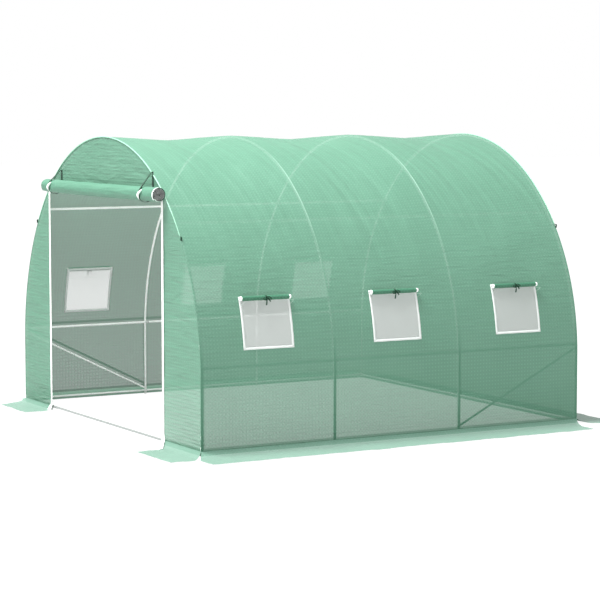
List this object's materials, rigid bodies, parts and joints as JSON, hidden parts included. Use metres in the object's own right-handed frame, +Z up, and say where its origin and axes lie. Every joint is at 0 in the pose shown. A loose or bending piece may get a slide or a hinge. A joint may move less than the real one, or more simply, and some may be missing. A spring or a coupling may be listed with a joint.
{
  "type": "polytunnel greenhouse",
  "caption": "Walk-in arched tunnel of round tube under reinforced green sheet, with netted side windows, a rolled-up door at one end and skirt flaps on the ground.",
  "frame": {"origin": "centre of the covered ground, at ground level", "axes": "+X across the tunnel towards its right side seen from the door, +Y from the door end to the closed end, +Z up"},
  "size_m": [3.656, 3.586, 2.0528],
  "materials": {
    "frame_tube": "white powder coat on round steel tube",
    "cover_sheet": "translucent green polyethylene sheet with a woven grid",
    "skirt_sheet": "the same sheet lying on the ground",
    "window_net": "fine white insect net with a white sewn tape",
    "window_flap": "green sheet rolled up",
    "door_sheet": "green sheet rolled up",
    "strap_webbing": "dark green woven webbing"
  },
  "bodies": {
    "root": {"front_hoop": "frame_tube", "second_hoop": "frame_tube", "third_hoop": "frame_tube", "back_hoop": "frame_tube", "right_base_rail": "frame_tube", "left_base_rail": "frame_tube", "right_mid_rail": "frame_tube", "left_mid_rail": "frame_tube", "right_purlin": "frame_tube", "left_purlin": "frame_tube", "door_sill_rail": "frame_tube", "back_base_rail": "frame_tube", "left_front_brace": "frame_tube", "right_back_brace": "frame_tube", "front_bay_roof": "cover_sheet", "middle_bay_roof": "cover_sheet", "back_bay_roof": "cover_sheet", "right_side_front_bay": "cover_sheet", "right_side_middle_bay": "cover_sheet", "right_side_back_bay": "cover_sheet", "left_side_front_bay": "cover_sheet", "left_side_middle_bay": "cover_sheet", "left_side_back_bay": "cover_sheet", "back_wall": "cover_sheet", "front_left_panel": "cover_sheet", "front_right_panel": "cover_sheet", "front_top_panel": "cover_sheet", "right_skirt": "skirt_sheet", "left_skirt": "skirt_sheet", "back_skirt": "skirt_sheet", "front_right_skirt": "skirt_sheet", "front_left_skirt": "skirt_sheet", "right_front_window_net": "window_net", "right_middle_window_net": "window_net", "right_back_window_net": "window_net", "left_front_window_net": "window_net", "left_middle_window_net": "window_net", "left_back_window_net": "window_net", "right_front_window_roll": "window_flap", "right_middle_window_roll": "window_flap", "right_back_window_roll": "window_flap", "left_front_window_roll": "window_flap", "left_middle_window_roll": "window_flap", "left_back_window_roll": "window_flap", "rolled_door": "door_sheet", "door_straps": "strap_webbing"}
  },
  "joints": []
}
